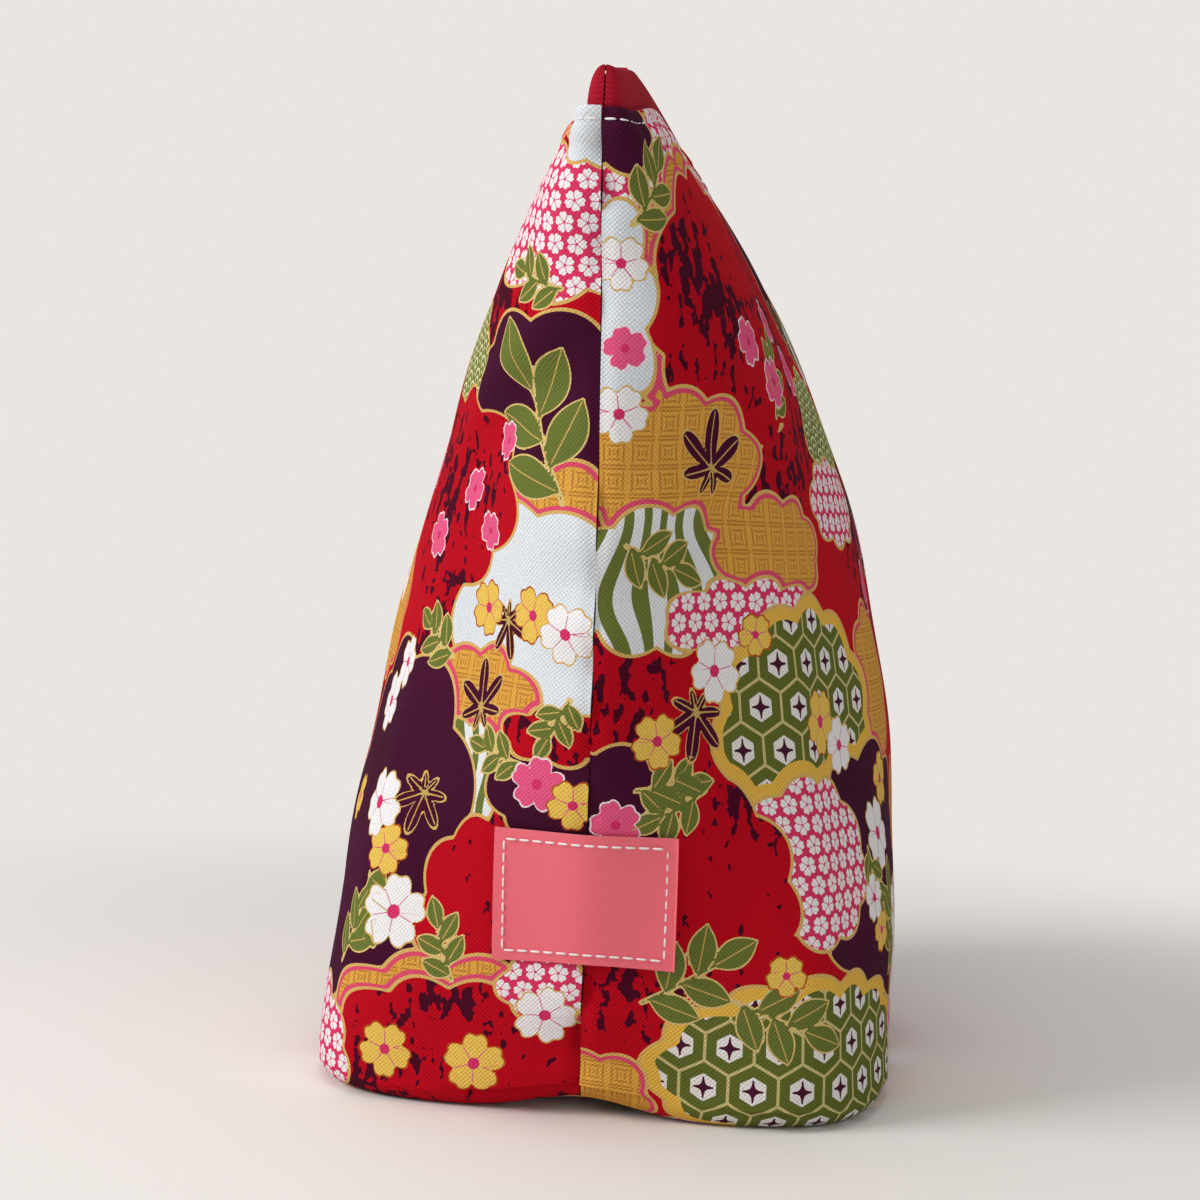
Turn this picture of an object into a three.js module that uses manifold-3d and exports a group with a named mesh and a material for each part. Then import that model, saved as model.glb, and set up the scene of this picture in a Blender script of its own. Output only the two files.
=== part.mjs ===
// A zip-top wash bag of printed cotton with a boxed base, standing filled out on the floor.
// Millimetres, +Z up, the zip runs along X and the labelled end seam faces +X.
import * as THREE from 'three';
import { mergeVertices } from 'three/addons/utils/BufferGeometryUtils.js';
import Module from 'manifold-3d';

const wasm = await Module();
wasm.setup();

// Sizes of the sewn bag
const panelWidth = 276;
const panelRise = 224;
const bellyDepth = 138;
const mouthDepth = 14.4;
const depthPower = 2.75;
const cornerDrop = 5;
const baseTurn = 5;
const endCrease = 4;
const endCreaseSpread = 14;
const endLift = 4;
const endLiftSpread = 17;
const endSway = 1.8;
const endSwaySpread = 30;

// How square the bag is in plan at the base, half way up and at the mouth
const baseSquareness = 4.8;
const middleSquareness = 1.5;
const mouthSquareness = 4.2;
const sideRoundness = 2.1;

// Cloth, tape and the gaps between layers
const clothThickness = 0.8;
const liningThickness = 0.6;
const tapeThickness = 0.5;
const seamGap = 0.3;
const liningInset = clothThickness + seamGap + tapeThickness + seamGap;
const liningShorter = 6;

// Zip
const chainHeight = panelRise + 5.4;
const zipEndAllowance = 26;
const chainReach = panelWidth / 2 - zipEndAllowance;
const chainHalfWidth = 2.1;
const toothHeight = 1.6;
const toothPitch = 2.8;
const toothReach = 0.55;
const toothTaper = 0.14;
const tapeTuck = 6;
const tapeShorter = 0.4;
const tapeEndDrop = 4;
const stopLength = 2.2;
const stopRise = 0.3;

// Slider and pull
const sliderLength = 11;
const sliderFrontHalf = 4.2;
const sliderBackHalf = 3.3;
const plateThickness = 0.9;
const plateClearance = 0.35;
const lowerPlateDrop = 2.1;
const lipHeight = 0.7;
const lipWidth = 0.6;
const wedgeLength = 2.6;
const wedgeHalf = 0.75;
const crownHalf = 0.9;
const crownSpan = 6.8;
const crownOpening = 5;
const crownClear = 2.4;
const crownThickness = 0.9;
const hingeRise = 1.35;
const pullThickness = 1.2;
const pullLength = 24;
const pullHalf = 3.4;
const pullEyeHalf = crownHalf + plateClearance;
const pullEyeReach = crownSpan / 2 + 0.7;

// Label sewn across the end seam
const labelWidth = 40;
const labelHeight = 31;
const labelMiddle = 52;
const labelThickness = 0.6;

const cloth = (name, colour) => new THREE.MeshStandardMaterial({ name, color: colour, roughness: 0.9, metalness: 0 });
const smooth = (from, to, value) => THREE.MathUtils.smoothstep(value, from, to);
const bell = (value, spread) => Math.exp(-((value / spread) ** 2));

// Plan of the bag at a relative height from 0 at the floor to 1 at the mouth
const halfDepth = (level) => mouthDepth / 2 + ((bellyDepth - mouthDepth) / 2) * (1 - level ** depthPower);

function squareness(level) {
  const low = Math.max(0, 1 - 2 * level) ** 1.5;
  const high = Math.max(0, 2 * level - 1) ** 1.5;
  return middleSquareness + (baseSquareness - middleSquareness) * low + (mouthSquareness - middleSquareness) * high;
}

// Half of the outline from the +X seam round to the -X seam, as points at equal turns
function halfLoop(halfLength, depth, level) {
  const across = squareness(level);
  const along = Math.max(across, sideRoundness);
  const points = [];
  for (let i = 0; i <= 200; i += 1) {
    const turn = (Math.PI * i) / 200;
    const c = Math.cos(turn);
    const x = halfLength * Math.sign(c) * Math.abs(c) ** (2 / along);
    const y = depth * Math.max(0, Math.sin(turn)) ** (2 / across);
    points.push(new THREE.Vector2(x, y));
  }
  return points;
}

function lengthOf(points) {
  let total = 0;
  for (let i = 1; i < points.length; i += 1) total += points[i].distanceTo(points[i - 1]);
  return total;
}

// The half length at which the cloth of one panel just goes round from seam to seam
const solvedLengths = new Map();
function halfLength(level) {
  if (solvedLengths.has(level)) return solvedLengths.get(level);
  let low = 0;
  let high = panelWidth / 2;
  for (let i = 0; i < 40; i += 1) {
    const middle = (low + high) / 2;
    if (lengthOf(halfLoop(middle, halfDepth(level), level)) < panelWidth) low = middle;
    else high = middle;
  }
  solvedLengths.set(level, low);
  return low;
}

// A point of the outline at a share of its length, with its outward direction
const loops = new Map();
function outline(level, inset, shorter, share) {
  const key = `${level} ${inset} ${shorter}`;
  if (!loops.has(key)) {
    const points = halfLoop(halfLength(level) - inset * 1.15 - shorter, halfDepth(level) - inset, level);
    const marks = [0];
    for (let i = 1; i < points.length; i += 1) marks.push(marks[i - 1] + points[i].distanceTo(points[i - 1]));
    loops.set(key, { points, marks });
  }
  const { points, marks } = loops.get(key);
  const target = share * marks[marks.length - 1];
  let i = 1;
  while (i < marks.length - 1 && marks[i] < target) i += 1;
  const step = (target - marks[i - 1]) / (marks[i] - marks[i - 1]);
  const at = points[i - 1].clone().lerp(points[i], step);
  const run = points[i].clone().sub(points[i - 1]).normalize();
  const out = new THREE.Vector2(run.y, -run.x);
  if (share === 0) out.set(1, 0);
  if (share === 1) out.set(-1, 0);
  return { at, out };
}

// Soft swells and hollows of the filled cloth, outward in millimetres
function swell(side, fromSeam, height) {
  const nearer = Math.min(fromSeam, panelWidth - fromSeam);
  const corner = 1.6 * bell(nearer - 56, 8) * smooth(4, 30, height) * (1 - smooth(90, 130, height));
  const hollow = -2.2 * bell(nearer - 33, 13) * smooth(10, 60, height) * (1 - smooth(120, 175, height));
  const slant = side > 0 ? height - 122 - 0.42 * fromSeam : height - 168 + 0.5 * fromSeam;
  const fold = -2.4 * bell(slant, 8) * smooth(-4, 10, fromSeam) * (1 - smooth(28, 62, fromSeam));
  const pinch = -1.6 * bell(nearer - 22, 12) * bell(height - panelRise * 0.86, 12);
  return corner + hollow + fold + pinch;
}

const edgeHeight = (x) => panelRise - cornerDrop * smooth(chainReach - 12, chainReach + 22, Math.abs(x));

// A point on a panel: side 1 is the back, -1 the front; a station is a row of the panel
function panelPoint(side, share, station, inset, shorter) {
  const nearer = Math.min(share, 1 - share) * panelWidth;
  const end = share < 0.5 ? 1 : -1;
  const lift = endLift * bell(nearer, endLiftSpread);
  const place = new THREE.Vector3();
  let sway = 0;
  if (station.base !== undefined) {
    const { at } = outline(0, baseTurn, shorter, share);
    const seamEnd = 0.52 * halfLength(0);
    const seamX = seamEnd * Math.cos(Math.PI * share);
    const k = station.base;
    place.set(seamX + (at.x - seamX) * k, at.y * k, inset + lift * k ** 3);
  } else if (station.turn !== undefined) {
    const angle = station.turn * (Math.PI / 2);
    const round = baseTurn - inset;
    const { at } = outline(0, baseTurn - round * Math.sin(angle), shorter, share);
    place.set(at.x, at.y, baseTurn - round * Math.cos(angle) + lift);
  } else {
    const level = station.wall;
    const { at, out } = outline(level, inset, shorter, share);
    const height = Math.max(baseTurn, level * edgeHeight(at.x));
    const bulge = swell(side, share * panelWidth, height);
    const crease = endCrease * Math.exp(-at.y / endCreaseSpread) * Math.sin(Math.PI * level) ** 0.5;
    place.set(at.x + out.x * bulge + end * crease, at.y + out.y * bulge, height + lift * (1 - level) ** 8);
    if (end > 0) sway = endSway * Math.sin(Math.PI * level) ** 2 * Math.exp(-at.y / endSwaySpread);
  }
  place.y = side * (Math.max(place.y, 0) + seamGap / 2) + sway;
  return place;
}

// A thin sheet: a grid of cells for the outside, the same grid cut the same way for the inside, and a rim
function sheet(columns, rows, place, mirrored) {
  const positions = [];
  for (const w of [0, 1]) {
    for (let v = 0; v <= rows; v += 1) {
      for (let u = 0; u <= columns; u += 1) positions.push(...place(u / columns, v / rows, w).toArray());
    }
  }
  const at = (u, v, w) => (w * (rows + 1) + v) * (columns + 1) + u;
  const index = [];
  const quad = (a, b, c, d) => index.push(...(mirrored ? [a, c, b, a, d, c] : [a, b, c, a, c, d]));
  for (let u = 0; u < columns; u += 1) {
    for (let v = 0; v < rows; v += 1) {
      quad(at(u, v, 0), at(u, v + 1, 0), at(u + 1, v + 1, 0), at(u + 1, v, 0));
      quad(at(u, v, 1), at(u + 1, v, 1), at(u + 1, v + 1, 1), at(u, v + 1, 1));
    }
    quad(at(u, 0, 0), at(u + 1, 0, 0), at(u + 1, 0, 1), at(u, 0, 1));
    quad(at(u, rows, 0), at(u, rows, 1), at(u + 1, rows, 1), at(u + 1, rows, 0));
  }
  for (let v = 0; v < rows; v += 1) {
    quad(at(0, v, 0), at(0, v, 1), at(0, v + 1, 1), at(0, v + 1, 0));
    quad(at(columns, v, 0), at(columns, v + 1, 0), at(columns, v + 1, 1), at(columns, v, 1));
  }
  const geometry = new THREE.BufferGeometry();
  geometry.setAttribute('position', new THREE.Float32BufferAttribute(positions, 3));
  geometry.setIndex(index);
  return geometry;
}

// Rows from the seam under the base, round the turned edge and up the wall
function stationsFor(baseRows, turnRows, wallRows) {
  const stations = [];
  for (let i = 0; i < baseRows; i += 1) stations.push({ base: i / baseRows });
  for (let i = 0; i < turnRows; i += 1) stations.push({ turn: i / turnRows });
  const low = baseTurn / panelRise;
  const high = 1 - tapeTuck / panelRise;
  for (let i = 0; i < wallRows; i += 1) {
    const rise = i / (wallRows - 1);
    stations.push({ wall: low + (high - low) * (rise + 0.06 * Math.sin(Math.PI * rise) ** 2) });
  }
  stations.push({ wall: 1 });
  return stations;
}

const crowd = (share) => share - 0.1 * Math.sin(2 * Math.PI * share);

function panel(side, columns, stations, inset, thickness, shorter) {
  const place = (u, v, w) => {
    const station = stations[Math.round(v * (stations.length - 1))];
    const share = Math.round(u * columns) / columns;
    return panelPoint(side, crowd(share), station, inset + (1 - w) * thickness, shorter);
  };
  return sheet(columns, stations.length - 1, place, side < 0);
}

// Zip tape: tucked under the panel edge, standing up from it and turning in to the chain
const partedFrom = -chainReach + sliderLength;
const parting = (x) => 1.3 * smooth(-partedFrom, -partedFrom + 5, -x);

function tapeInnerEdge(x) {
  const open = 1 - smooth(chainReach + 3, chainReach + 13, Math.abs(x));
  return (chainHalfWidth + 1.5 * seamGap + parting(x)) * open;
}

function tapePoint(side, share, rowShare, depth) {
  const inset = clothThickness + seamGap + depth * tapeThickness;
  if (rowShare < 0.1) return panelPoint(side, share, { wall: 1 - tapeTuck / panelRise }, inset, tapeShorter);
  const { at } = outline(1, inset, tapeShorter, share);
  const edge = edgeHeight(at.x);
  const angle = ((rowShare - 0.2) / 0.8) * (Math.PI / 2);
  const inner = Math.min(tapeInnerEdge(at.x), at.y);
  const top = chainHeight + tapeThickness / 2 - tapeEndDrop * smooth(chainReach + 3, chainReach + 22, Math.abs(at.x));
  const y = inner + (at.y - inner) * Math.cos(angle);
  const z = edge + (top - depth * tapeThickness - edge) * Math.sin(angle);
  return new THREE.Vector3(at.x, side * (Math.max(y, 0) + seamGap / 2), z);
}

function tape(side) {
  const columns = 32;
  const place = (u, v, w) => tapePoint(side, crowd(Math.round(u * columns) / columns), v, 1 - w);
  return sheet(columns, 5, place, side < 0);
}

// Zip chain: one comb of moulded teeth on each tape, each tooth seated between two of the other comb
function comb(side) {
  const plan = new THREE.Shape();
  const teeth = Math.floor((2 * chainReach - toothPitch) / toothPitch);
  const start = chainReach - (side > 0 ? 0 : toothPitch / 2) - toothPitch / 2;
  const middleHalf = toothPitch / 4 - seamGap / 2 - 0.03;
  const tipHalf = middleHalf - toothTaper * toothReach;
  const rootHalf = middleHalf + toothTaper * (toothReach + seamGap);
  const root = toothReach + seamGap;
  const lines = [];
  const add = (x, y) => lines.push([x, y + parting(x)]);
  for (let i = 0; i < teeth; i += 1) {
    const x = start - i * toothPitch;
    add(x + rootHalf, root);
    add(x + tipHalf, -toothReach);
    add(x - tipHalf, -toothReach);
    add(x - rootHalf, root);
  }
  const last = start - (teeth - 1) * toothPitch - rootHalf;
  for (let x = last; x < partedFrom; x += 3) add(x, chainHalfWidth);
  add(partedFrom, chainHalfWidth);
  add(start + rootHalf, chainHalfWidth);
  const turned = side > 0 ? lines : lines.slice().reverse();
  turned.forEach(([x, y], i) => (i ? plan.lineTo(x, side * y) : plan.moveTo(x, side * y)));
  const solid = new THREE.ExtrudeGeometry(plan, { depth: toothHeight, bevelEnabled: false });
  return solid.translate(0, 0, chainHeight - toothHeight / 2);
}

function block(x0, x1, y0, y1, z0, z1) {
  return new THREE.BoxGeometry(x1 - x0, y1 - y0, z1 - z0).translate((x0 + x1) / 2, (y0 + y1) / 2, (z0 + z1) / 2);
}

function solidOf(geometry) {
  const bare = new THREE.BufferGeometry();
  bare.setAttribute('position', geometry.attributes.position);
  bare.setIndex(geometry.index);
  const merged = mergeVertices(bare, 1e-4);
  const vertProperties = new Float32Array(merged.attributes.position.array);
  const triVerts = new Uint32Array(merged.index.array);
  return new wasm.Manifold(new wasm.Mesh({ numProp: 3, vertProperties, triVerts }));
}

function geometryOf(solid) {
  const mesh = solid.getMesh();
  const geometry = new THREE.BufferGeometry();
  geometry.setAttribute('position', new THREE.BufferAttribute(mesh.vertProperties, 3));
  geometry.setIndex(new THREE.BufferAttribute(mesh.triVerts, 1));
  return geometry;
}

// Slider: two plates joined by the wedge that parts the teeth, side lips, and the crown that holds the pull
const sliderFront = -chainReach + 0.9;
const sliderMiddle = sliderFront + sliderLength / 2;
const upperPlateZ = chainHeight + toothHeight / 2 + plateClearance;
const plateTop = upperPlateZ + plateThickness;
const hingeZ = plateTop + hingeRise;

function platePlan(trim) {
  const plan = new THREE.Shape();
  const back = sliderFront + sliderLength;
  plan.moveTo(sliderFront, -sliderFrontHalf + trim + 1.4);
  plan.lineTo(sliderFront + 1.4, -sliderFrontHalf + trim);
  plan.lineTo(sliderFront + 4.6, -sliderFrontHalf + trim);
  plan.lineTo(back, -sliderBackHalf + trim);
  plan.lineTo(back, sliderBackHalf - trim);
  plan.lineTo(sliderFront + 4.6, sliderFrontHalf - trim);
  plan.lineTo(sliderFront + 1.4, sliderFrontHalf - trim);
  plan.lineTo(sliderFront, sliderFrontHalf - trim - 1.4);
  return plan;
}

function plate(trim, z, thickness) {
  return new THREE.ExtrudeGeometry(platePlan(trim), { depth: thickness, bevelEnabled: false }).translate(0, 0, z);
}

function sliderShape() {
  const rim = solidOf(plate(0, upperPlateZ - lipHeight, lipHeight + 0.2));
  const channel = solidOf(plate(lipWidth, upperPlateZ - lipHeight - 1, lipHeight + 2));
  const throat = sliderBackHalf - lipWidth;
  const ends = solidOf(
    block(sliderFront - 1, sliderFront + sliderLength + 1, -throat, throat, upperPlateZ - 2, upperPlateZ),
  );
  const lips = rim.subtract(channel).subtract(ends);
  const lowerTop = chainHeight - lowerPlateDrop;
  const wedgeStart = sliderFront + 0.8;
  const wedge = block(wedgeStart, wedgeStart + wedgeLength, -wedgeHalf, wedgeHalf, lowerTop - 0.2, upperPlateZ + 0.2);
  const arch = new THREE.Shape();
  const span = crownSpan / 2;
  const opening = crownOpening / 2;
  const peak = crownClear + crownThickness;
  arch.moveTo(-span, -0.2);
  arch.lineTo(-span, peak * 0.55);
  arch.quadraticCurveTo(-span, peak, -span * 0.4, peak);
  arch.lineTo(span * 0.4, peak);
  arch.quadraticCurveTo(span, peak, span, peak * 0.55);
  arch.lineTo(span, -0.2);
  arch.lineTo(opening, -0.2);
  arch.lineTo(opening, crownClear * 0.6);
  arch.quadraticCurveTo(opening, crownClear, opening * 0.4, crownClear);
  arch.lineTo(-opening * 0.4, crownClear);
  arch.quadraticCurveTo(-opening, crownClear, -opening, crownClear * 0.6);
  arch.lineTo(-opening, -0.2);
  const crown = new THREE.ExtrudeGeometry(arch, { depth: 2 * crownHalf, bevelEnabled: false, curveSegments: 4 });
  crown.translate(0, 0, -crownHalf).rotateX(Math.PI / 2).translate(sliderMiddle, 0, plateTop);
  const lower = solidOf(plate(0.2, lowerTop - plateThickness, plateThickness));
  return geometryOf(
    solidOf(plate(0, upperPlateZ, plateThickness)).add(lips).add(solidOf(wedge)).add(lower).add(solidOf(crown)),
  );
}

// Pull: a flat tab with an eye that hangs on the crown, lying back along the closed chain
function pullShape() {
  const bar = pullThickness / 2;
  const plan = new THREE.Shape();
  plan.moveTo(-bar, -pullHalf * 0.75);
  plan.lineTo(pullEyeReach + 1, -pullHalf * 0.75);
  plan.lineTo(pullEyeReach + 4, -pullHalf);
  plan.lineTo(pullLength - pullHalf, -pullHalf);
  plan.absarc(pullLength - pullHalf, 0, pullHalf, -Math.PI / 2, Math.PI / 2, false);
  plan.lineTo(pullEyeReach + 4, pullHalf);
  plan.lineTo(pullEyeReach + 1, pullHalf * 0.75);
  plan.lineTo(-bar, pullHalf * 0.75);
  const eye = new THREE.Path();
  eye.moveTo(bar, -pullEyeHalf);
  eye.lineTo(bar, pullEyeHalf);
  eye.lineTo(pullEyeReach, pullEyeHalf);
  eye.lineTo(pullEyeReach, -pullEyeHalf);
  plan.holes.push(eye);
  const tab = new THREE.ExtrudeGeometry(plan, { depth: pullThickness, bevelEnabled: false, curveSegments: 10 });
  return tab.translate(sliderMiddle, 0, hingeZ - pullThickness / 2);
}

// Label: a folded satin tab lying round the end seam on both panels
function labelShape() {
  const columns = 16;
  const place = (u, v, w) => {
    const along = (u - 0.5) * labelWidth;
    const level = (labelMiddle + (v - 0.5) * labelHeight) / panelRise;
    const side = along < 0 ? -1 : 1;
    const off = -seamGap - 0.15 - w * labelThickness;
    const p = panelPoint(side, Math.abs(along) / panelWidth, { wall: level }, off, 0);
    if (Math.abs(along) < 1e-6) p.y -= (side * seamGap) / 2;
    return p;
  };
  return sheet(columns, 4, place, false);
}

const root = new THREE.Group();
function piece(name, geometry, material) {
  const mesh = new THREE.Mesh(geometry, material);
  mesh.name = name;
  root.add(mesh);
}

const outerRows = stationsFor(2, 3, 13);
const liningRows = stationsFor(1, 2, 8);
const stopZ = [chainHeight - toothHeight / 2, chainHeight + toothHeight / 2 + stopRise];
const topStopInner = 1.3 + seamGap;
const topStopOuter = 1.3 + chainHalfWidth;

for (const [name, side] of [['front', -1], ['back', 1]]) {
  piece(`outer_${name}`, panel(side, 32, outerRows, 0, clothThickness, 0), cloth(`printed_cotton_${name}`, 0xb0203c));
  const lining = panel(side, 18, liningRows, liningInset, liningThickness, liningShorter);
  piece(`lining_${name}`, lining, cloth(`lining_cotton_${name}`, 0xe9d3cf));
  piece(`zip_tape_${name}`, tape(side), cloth(`zip_tape_${name}`, 0xc0142c));
  const moulded = new THREE.MeshStandardMaterial({ color: 0xb5122a, roughness: 0.45, metalness: 0 });
  piece(`zip_teeth_${name}`, comb(side), moulded);
  const stop = new THREE.MeshStandardMaterial({ color: 0xb5122a, roughness: 0.4, metalness: 0 });
  const [inner, outer] = side > 0 ? [topStopInner, topStopOuter] : [-topStopOuter, -topStopInner];
  const stopStart = -chainReach - seamGap - stopLength;
  piece(`zip_top_stop_${name}`, block(stopStart, stopStart + stopLength, inner, outer, ...stopZ), stop);
}

const lastStop = chainReach + seamGap;
piece(
  'zip_bottom_stop',
  block(lastStop, lastStop + stopLength, -chainHalfWidth, chainHalfWidth, ...stopZ),
  new THREE.MeshStandardMaterial({ color: 0xb5122a, roughness: 0.4, metalness: 0 }),
);
piece('zip_slider', sliderShape(), new THREE.MeshStandardMaterial({ color: 0xa81226, roughness: 0.35, metalness: 0.3 }));
piece('zip_pull', pullShape(), new THREE.MeshStandardMaterial({ color: 0xa81226, roughness: 0.35, metalness: 0.3 }));
piece('label', labelShape(), new THREE.MeshStandardMaterial({ color: 0xee6a7c, roughness: 0.5, metalness: 0 }));

export default root;
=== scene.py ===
import bpy
import numpy as np
from mathutils import Matrix


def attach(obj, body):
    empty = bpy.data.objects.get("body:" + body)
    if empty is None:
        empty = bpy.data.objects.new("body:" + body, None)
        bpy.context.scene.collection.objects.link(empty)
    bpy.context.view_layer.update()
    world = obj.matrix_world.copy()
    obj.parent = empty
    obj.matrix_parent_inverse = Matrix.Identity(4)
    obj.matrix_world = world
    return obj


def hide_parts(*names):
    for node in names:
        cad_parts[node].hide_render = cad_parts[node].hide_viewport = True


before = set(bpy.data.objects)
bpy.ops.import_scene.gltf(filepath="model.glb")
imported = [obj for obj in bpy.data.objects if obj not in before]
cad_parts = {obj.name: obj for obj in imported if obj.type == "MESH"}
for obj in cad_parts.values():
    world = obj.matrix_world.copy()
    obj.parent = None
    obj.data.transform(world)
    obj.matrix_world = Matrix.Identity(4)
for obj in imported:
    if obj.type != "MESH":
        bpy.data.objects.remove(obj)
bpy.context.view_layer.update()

# Printed cotton panels: the front and the back of the bag, each a wall and half of the boxed base,
# cut from one piece of cotton backed with interfacing. They are sewn down both ends and under the base.
panel_width, panel_rise, belly_depth, mouth_depth = 0.276, 0.224, 0.138, 0.0144
depth_power, corner_drop, base_turn = 2.75, 0.005, 0.005
end_crease, crease_spread, end_lift, lift_spread = 0.004, 0.014, 0.004, 0.017
end_sway, sway_spread, zip_end_allowance = 0.0018, 0.030, 0.026
chain_reach = panel_width / 2 - zip_end_allowance
base_square, middle_square, mouth_square, side_round = 4.8, 1.5, 4.2, 2.1
cloth_thick, seam_gap, base_seam, end_inset = 0.0008, 0.0003, 0.52, 1.15
loop_points, halvings = 400, 40


def ramp(low, high, value):
    """A smooth step from 0 at low to 1 at high."""
    t = np.clip((value - low) / (high - low), 0, 1)
    return t * t * (3 - 2 * t)


def bell(value, spread):
    """A Gaussian bell of height 1."""
    return np.exp(-(value / spread) ** 2)


def half_loops(levels, insets, shorter, shares):
    """Half outlines of the bag in plan, one row per level: superellipses whose length is set so that
    the cloth just goes round from seam to seam, read at shares of their arc length."""
    level, inset = np.broadcast_arrays(np.asarray(levels, float), insets)
    level, inset = level[:, None], inset[:, None]
    depth = mouth_depth / 2 + (belly_depth - mouth_depth) / 2 * (1 - level ** depth_power)
    low, high = np.maximum(0, 1 - 2 * level) ** 1.5, np.maximum(0, 2 * level - 1) ** 1.5
    across = middle_square + (base_square - middle_square) * low + (mouth_square - middle_square) * high
    along = np.maximum(across, side_round)
    turn = np.linspace(0, np.pi, loop_points)[None]
    c, s = np.cos(turn), np.maximum(0, np.sin(turn))
    cx, sy = np.sign(c) * np.abs(c) ** (2 / along), s ** (2 / across)
    short, long = np.zeros_like(level), np.full_like(level, panel_width / 2)
    for _ in range(halvings):
        middle = (short + long) / 2
        run = np.hypot(np.diff(middle * cx, axis=1), np.diff(depth * sy, axis=1)).sum(1)[:, None]
        short, long = np.where(run < panel_width, middle, short), np.where(run < panel_width, long, middle)
    x, y = (short - end_inset * inset - shorter) * cx, (depth - inset) * sy
    steps = np.hypot(np.diff(x, axis=1, prepend=x[:, :1]), np.diff(y, axis=1, prepend=y[:, :1]))
    marks = np.cumsum(steps, axis=1)
    marks /= marks[:, -1:]
    read = lambda rows: np.array([np.interp(shares, m, r) for m, r in zip(marks, rows)])
    return read(x), read(y), short


def band(start, full, fading, end, value):
    """A smooth step up from start to full and down again from fading to end."""
    return ramp(start, full, value) * (1 - ramp(fading, end, value))


def fold_line(side, run, height):
    """Height above the slanting fold by the labelled end, which climbs on the back panel and falls on the
    front one."""
    start, slope = (0.122, 0.42) if side > 0 else (0.168, -0.5)
    return height - start - slope * run


def swell(side, run, height):
    """How far the filled cloth stands out: the soft corners of the boxed base, the hollows between them
    and the end seam, one slanting fold by the labelled end and the pinch under the zip's end."""
    nearer = np.minimum(run, panel_width - run)
    corner = 0.0016 * bell(nearer - 0.056, 0.008) * band(0.004, 0.030, 0.090, 0.130, height)
    hollow = -0.0022 * bell(nearer - 0.033, 0.013) * band(0.010, 0.060, 0.120, 0.175, height)
    fold = -0.0024 * bell(fold_line(side, run, height), 0.008) * band(-0.004, 0.010, 0.028, 0.062, run)
    pinch = -0.0016 * bell(nearer - 0.022, 0.012) * bell(height - panel_rise * 0.86, 0.012)
    return corner + hollow + fold + pinch


def pucker(side, run, height, below_edge):
    """Small cloth relief: gathers along the end seams, ripples under the topstitching, a folded hem with a
    stitch groove, slow waves over the panel, ripples at its foot and a ridge above the fold, as sums of
    sines faded with bells."""
    nearer = np.minimum(run, panel_width - run)
    seam = 0.0011 * np.sin(height / 0.0042 + 2.1 * np.sin(height / 0.017) + side) * bell(nearer, 0.0095)
    sunk = -0.0010 * bell(nearer, 0.0022)
    edge = 0.0005 * np.sin(run / 0.0034 + 1.7 * np.sin(run / 0.021)) * bell(below_edge - 0.006, 0.006)
    hem = 0.0005 * (1 - ramp(0.0060, 0.0075, below_edge)) - 0.0005 * bell(below_edge - 0.0026, 0.0008)
    waves = 0.0008 * np.sin(run / 0.013 + height / 0.019 + side) * np.sin(height / 0.016 - run / 0.023)
    waves = waves * ramp(0.004, 0.014, below_edge)
    foot = 0.0009 * np.sin(run / 0.0075 + 1.3 * side) * bell(height - 0.008, 0.008)
    foot = foot * (0.4 + bell(nearer, 0.045))
    above_fold = fold_line(side, run, height) - 0.012
    ridge = 0.0014 * bell(above_fold, 0.0055) * band(0.002, 0.014, 0.030, 0.070, run)
    return seam + sunk * (1 - 0.6 * ramp(0.19, 0.21, height)) + edge + hem + waves + foot + ridge


def edge_height(x):
    """Height of the panels' top edge: level along the zip, dropping at both ends."""
    return panel_rise - corner_drop * ramp(chain_reach - 0.012, chain_reach + 0.022, np.abs(x))


def panel_walls(side, shares, levels, inset, shorter=0.0, relief=1.0):
    """The wall of a panel on a grid of levels by shares: the plan outline at each level, moved outward by
    the swells and puckers, creased along the end seams."""
    x, y, _ = half_loops(levels, np.full(len(levels), inset), shorter, shares)
    dx, dy = np.gradient(x, axis=1), np.gradient(y, axis=1)
    size = np.hypot(dx, dy) + 1e-12
    out_x, out_y = dy / size, -dx / size
    out_x[:, [0, -1]], out_y[:, [0, -1]] = (1, -1), 0
    level = np.asarray(levels)[:, None]
    height = np.maximum(base_turn, level * edge_height(x))
    run = np.broadcast_to(shares[None] * panel_width, x.shape)
    stand = swell(side, run, height) + relief * pucker(side, run, height, (1 - level) * panel_rise)
    arch = np.sin(np.pi * np.clip(level, 0, 1))
    crease = end_crease * np.exp(-y / crease_spread) * arch ** 0.5
    lift = end_lift * bell(np.minimum(run, panel_width - run), lift_spread) * (1 - level) ** 8
    place_x = x + out_x * stand + crease * np.where(shares < 0.5, 1, -1)[None]
    sway = end_sway * arch ** 2 * np.exp(-y / sway_spread) * (shares < 0.5)[None]
    place_y = side * (np.maximum(y + out_y * stand, 0) + seam_gap / 2) + sway
    return np.stack([place_x, place_y, height + lift], -1)


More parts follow.
